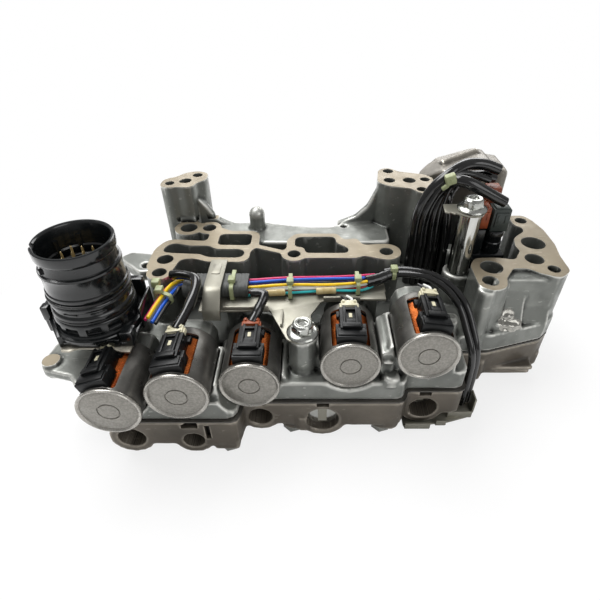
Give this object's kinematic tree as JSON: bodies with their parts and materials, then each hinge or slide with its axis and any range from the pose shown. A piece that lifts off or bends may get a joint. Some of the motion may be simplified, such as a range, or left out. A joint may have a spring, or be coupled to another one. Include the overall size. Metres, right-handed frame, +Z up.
{
  "type": "transmission valve body",
  "caption": "Valve body of an automatic transmission: two castings with oil galleries, solenoids, spool valves and wiring.",
  "frame": {"origin": "under the middle of the part's bounding box, on the surface that its bolt heads and feet stand on", "axes": "+X along the row of solenoids, from the round connector towards the tower; +Y from the solenoids' faces into the casting; +Z up, towards the gallery face"},
  "size_m": [0.3072, 0.1778, 0.1294],
  "materials": {
    "cast_aluminium_light": "satin",
    "cast_aluminium_dark": "satin",
    "steel": "satin",
    "bright_steel": "polished",
    "zinc_plate": "satin",
    "gold_pins": "satin",
    "black_plastic": "gloss",
    "black_rubber": "satin",
    "wire_insulation": "satin",
    "grey_plastic": "satin",
    "cream_plastic": "satin",
    "orange_plastic": "satin"
  },
  "bodies": {
    "valve_body": {"bottom_bolt_1": "bright_steel", "bottom_bolt_2": "bright_steel", "bottom_bolt_3": "bright_steel", "cable_bundle": "black_rubber", "connector_base": "black_plastic", "connector_pins": "gold_pins", "connector_seal": "black_rubber", "connector_shell": "black_plastic", "front_bolt": "bright_steel", "grey_connector": "grey_plastic", "harness_sleeve": "grey_plastic", "harness_tray": "zinc_plate", "lower_body": "cast_aluminium_dark", "lower_bracket": "zinc_plate", "main_cable": "black_rubber", "orange_connector": "orange_plastic", "rear_cover": "cast_aluminium_light", "retaining_plate": "steel", "sensor_body": "black_plastic", "separator_plate": "steel", "sleeve_bolt": "bright_steel", "sleeve_tab": "zinc_plate", "solenoid_can_1": "steel", "solenoid_can_2": "steel", "solenoid_can_3": "steel", "solenoid_can_4": "steel", "solenoid_can_5": "steel", "solenoid_coil_1": "black_plastic", "solenoid_coil_2": "black_plastic", "solenoid_coil_3": "black_plastic", "solenoid_coil_4": "black_plastic", "solenoid_coil_5": "black_plastic", "spool_retainer_1": "zinc_plate", "spool_retainer_2": "zinc_plate", "spool_retainer_3": "zinc_plate", "spool_retainer_4": "zinc_plate", "spool_retainer_5": "zinc_plate", "spool_spring_1": "bright_steel", "spool_spring_2": "bright_steel", "spool_spring_3": "bright_steel", "spool_spring_4": "bright_steel", "spool_spring_5": "bright_steel", "steel_sleeve": "bright_steel", "terminal_clip_2": "cream_plastic", "terminal_clip_3": "orange_plastic", "terminal_clip_4": "cream_plastic", "terminal_clip_5": "cream_plastic", "upper_body": "cast_aluminium_light", "wire_loom_left": "wire_insulation", "wire_loom_right": "wire_insulation"},
    "spool_1_body": {"spool_1": "bright_steel"},
    "spool_2_body": {"spool_2": "bright_steel"},
    "spool_3_body": {"spool_3": "bright_steel"},
    "spool_4_body": {"spool_4": "bright_steel"},
    "spool_5_body": {"spool_5": "bright_steel"},
    "plunger_1_body": {"plunger_1": "bright_steel"},
    "plunger_2_body": {"plunger_2": "bright_steel"},
    "plunger_3_body": {"plunger_3": "bright_steel"},
    "plunger_4_body": {"plunger_4": "bright_steel"},
    "plunger_5_body": {"plunger_5": "bright_steel"}
  },
  "joints": [
    {"name": "spool_1_slide", "type": "slide", "parent": "valve_body", "child": "spool_1_body", "axis": [0, 1, 0], "range_m": [0, 0.005], "stiffness_N_per_m": 400, "springref_m": -0.004, "deforming": ["spool_spring_1"]},
    {"name": "spool_2_slide", "type": "slide", "parent": "valve_body", "child": "spool_2_body", "axis": [0, 1, 0], "range_m": [0, 0.005], "stiffness_N_per_m": 400, "springref_m": -0.004, "deforming": ["spool_spring_2"]},
    {"name": "spool_3_slide", "type": "slide", "parent": "valve_body", "child": "spool_3_body", "axis": [0, 1, 0], "range_m": [0, 0.005], "stiffness_N_per_m": 400, "springref_m": -0.004, "deforming": ["spool_spring_3"]},
    {"name": "spool_4_slide", "type": "slide", "parent": "valve_body", "child": "spool_4_body", "axis": [0, 1, 0], "range_m": [0, 0.005], "stiffness_N_per_m": 400, "springref_m": -0.004, "deforming": ["spool_spring_4"]},
    {"name": "spool_5_slide", "type": "slide", "parent": "valve_body", "child": "spool_5_body", "axis": [0, 1, 0], "range_m": [0, 0.005], "stiffness_N_per_m": 400, "springref_m": -0.004, "deforming": ["spool_spring_5"]},
    {"name": "plunger_1_slide", "type": "slide", "parent": "valve_body", "child": "plunger_1_body", "axis": [0, -1, 0], "range_m": [0, 0.0015], "stiffness_N_per_m": 500, "springref_m": -0.002},
    {"name": "plunger_2_slide", "type": "slide", "parent": "valve_body", "child": "plunger_2_body", "axis": [0, -1, 0], "range_m": [0, 0.0015], "stiffness_N_per_m": 500, "springref_m": -0.002},
    {"name": "plunger_3_slide", "type": "slide", "parent": "valve_body", "child": "plunger_3_body", "axis": [0, -1, 0], "range_m": [0, 0.0015], "stiffness_N_per_m": 500, "springref_m": -0.002},
    {"name": "plunger_4_slide", "type": "slide", "parent": "valve_body", "child": "plunger_4_body", "axis": [0, -1, 0], "range_m": [0, 0.0015], "stiffness_N_per_m": 500, "springref_m": -0.002},
    {"name": "plunger_5_slide", "type": "slide", "parent": "valve_body", "child": "plunger_5_body", "axis": [0, -1, 0], "range_m": [0, 0.0015], "stiffness_N_per_m": 500, "springref_m": -0.002}
  ]
}
